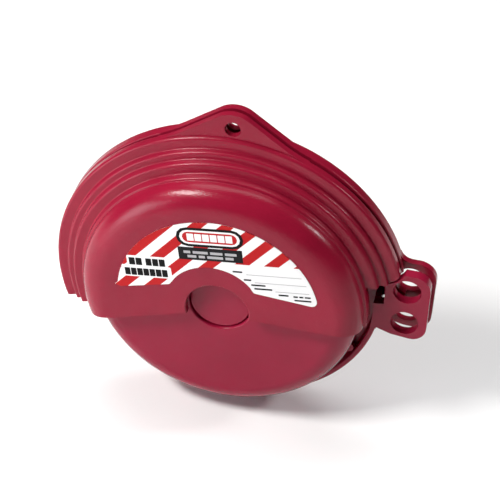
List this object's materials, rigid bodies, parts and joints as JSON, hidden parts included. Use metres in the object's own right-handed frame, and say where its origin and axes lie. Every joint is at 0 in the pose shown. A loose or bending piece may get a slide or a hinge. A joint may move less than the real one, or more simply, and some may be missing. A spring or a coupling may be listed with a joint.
{
  "type": "handwheel lockout",
  "caption": "Round red plastic cover in two nested turning half shells that close round a gate valve's handwheel, with padlock tabs at the side and a hanging eye on top.",
  "frame": {"origin": "on the turning axis at the centre of the handwheel it covers, level with the gap between the two flanges", "axes": "-Y out of the front face along the turning axis, +Z toward the hanging eye, +X toward the padlock tabs"},
  "size_m": [0.1124, 0.0304, 0.1053],
  "materials": {
    "outer_plastic": "satin-gloss moulded burgundy red",
    "inner_plastic": "smooth gloss moulded burgundy red",
    "printed_label": "laminated print, red stripes on white",
    "screw_steel": "plain zinc-plated"
  },
  "bodies": {
    "outer_half": {"outer_rear_shell": "outer_plastic", "outer_front_shell": "outer_plastic", "warning_label": "printed_label", "outer_screw_1": "screw_steel", "outer_screw_2": "screw_steel", "outer_screw_3": "screw_steel", "outer_screw_4": "screw_steel", "outer_screw_5": "screw_steel"},
    "inner_half": {"inner_rear_shell": "inner_plastic", "inner_front_shell": "inner_plastic", "inner_screw_1": "screw_steel", "inner_screw_2": "screw_steel", "inner_screw_3": "screw_steel", "inner_screw_4": "screw_steel"},
    "centre_disc": {"hub_disc": "inner_plastic"}
  },
  "joints": [
    {"name": "inner_half_turn", "type": "hinge", "parent": "outer_half", "child": "inner_half", "pos_m": [0, 0, 0], "axis": [0, 1, 0], "range_deg": [0, 148]},
    {"name": "centre_disc_push_out", "type": "slide", "parent": "inner_half", "child": "centre_disc", "axis": [0, -1, 0], "range_m": [0, 0.02]}
  ]
}
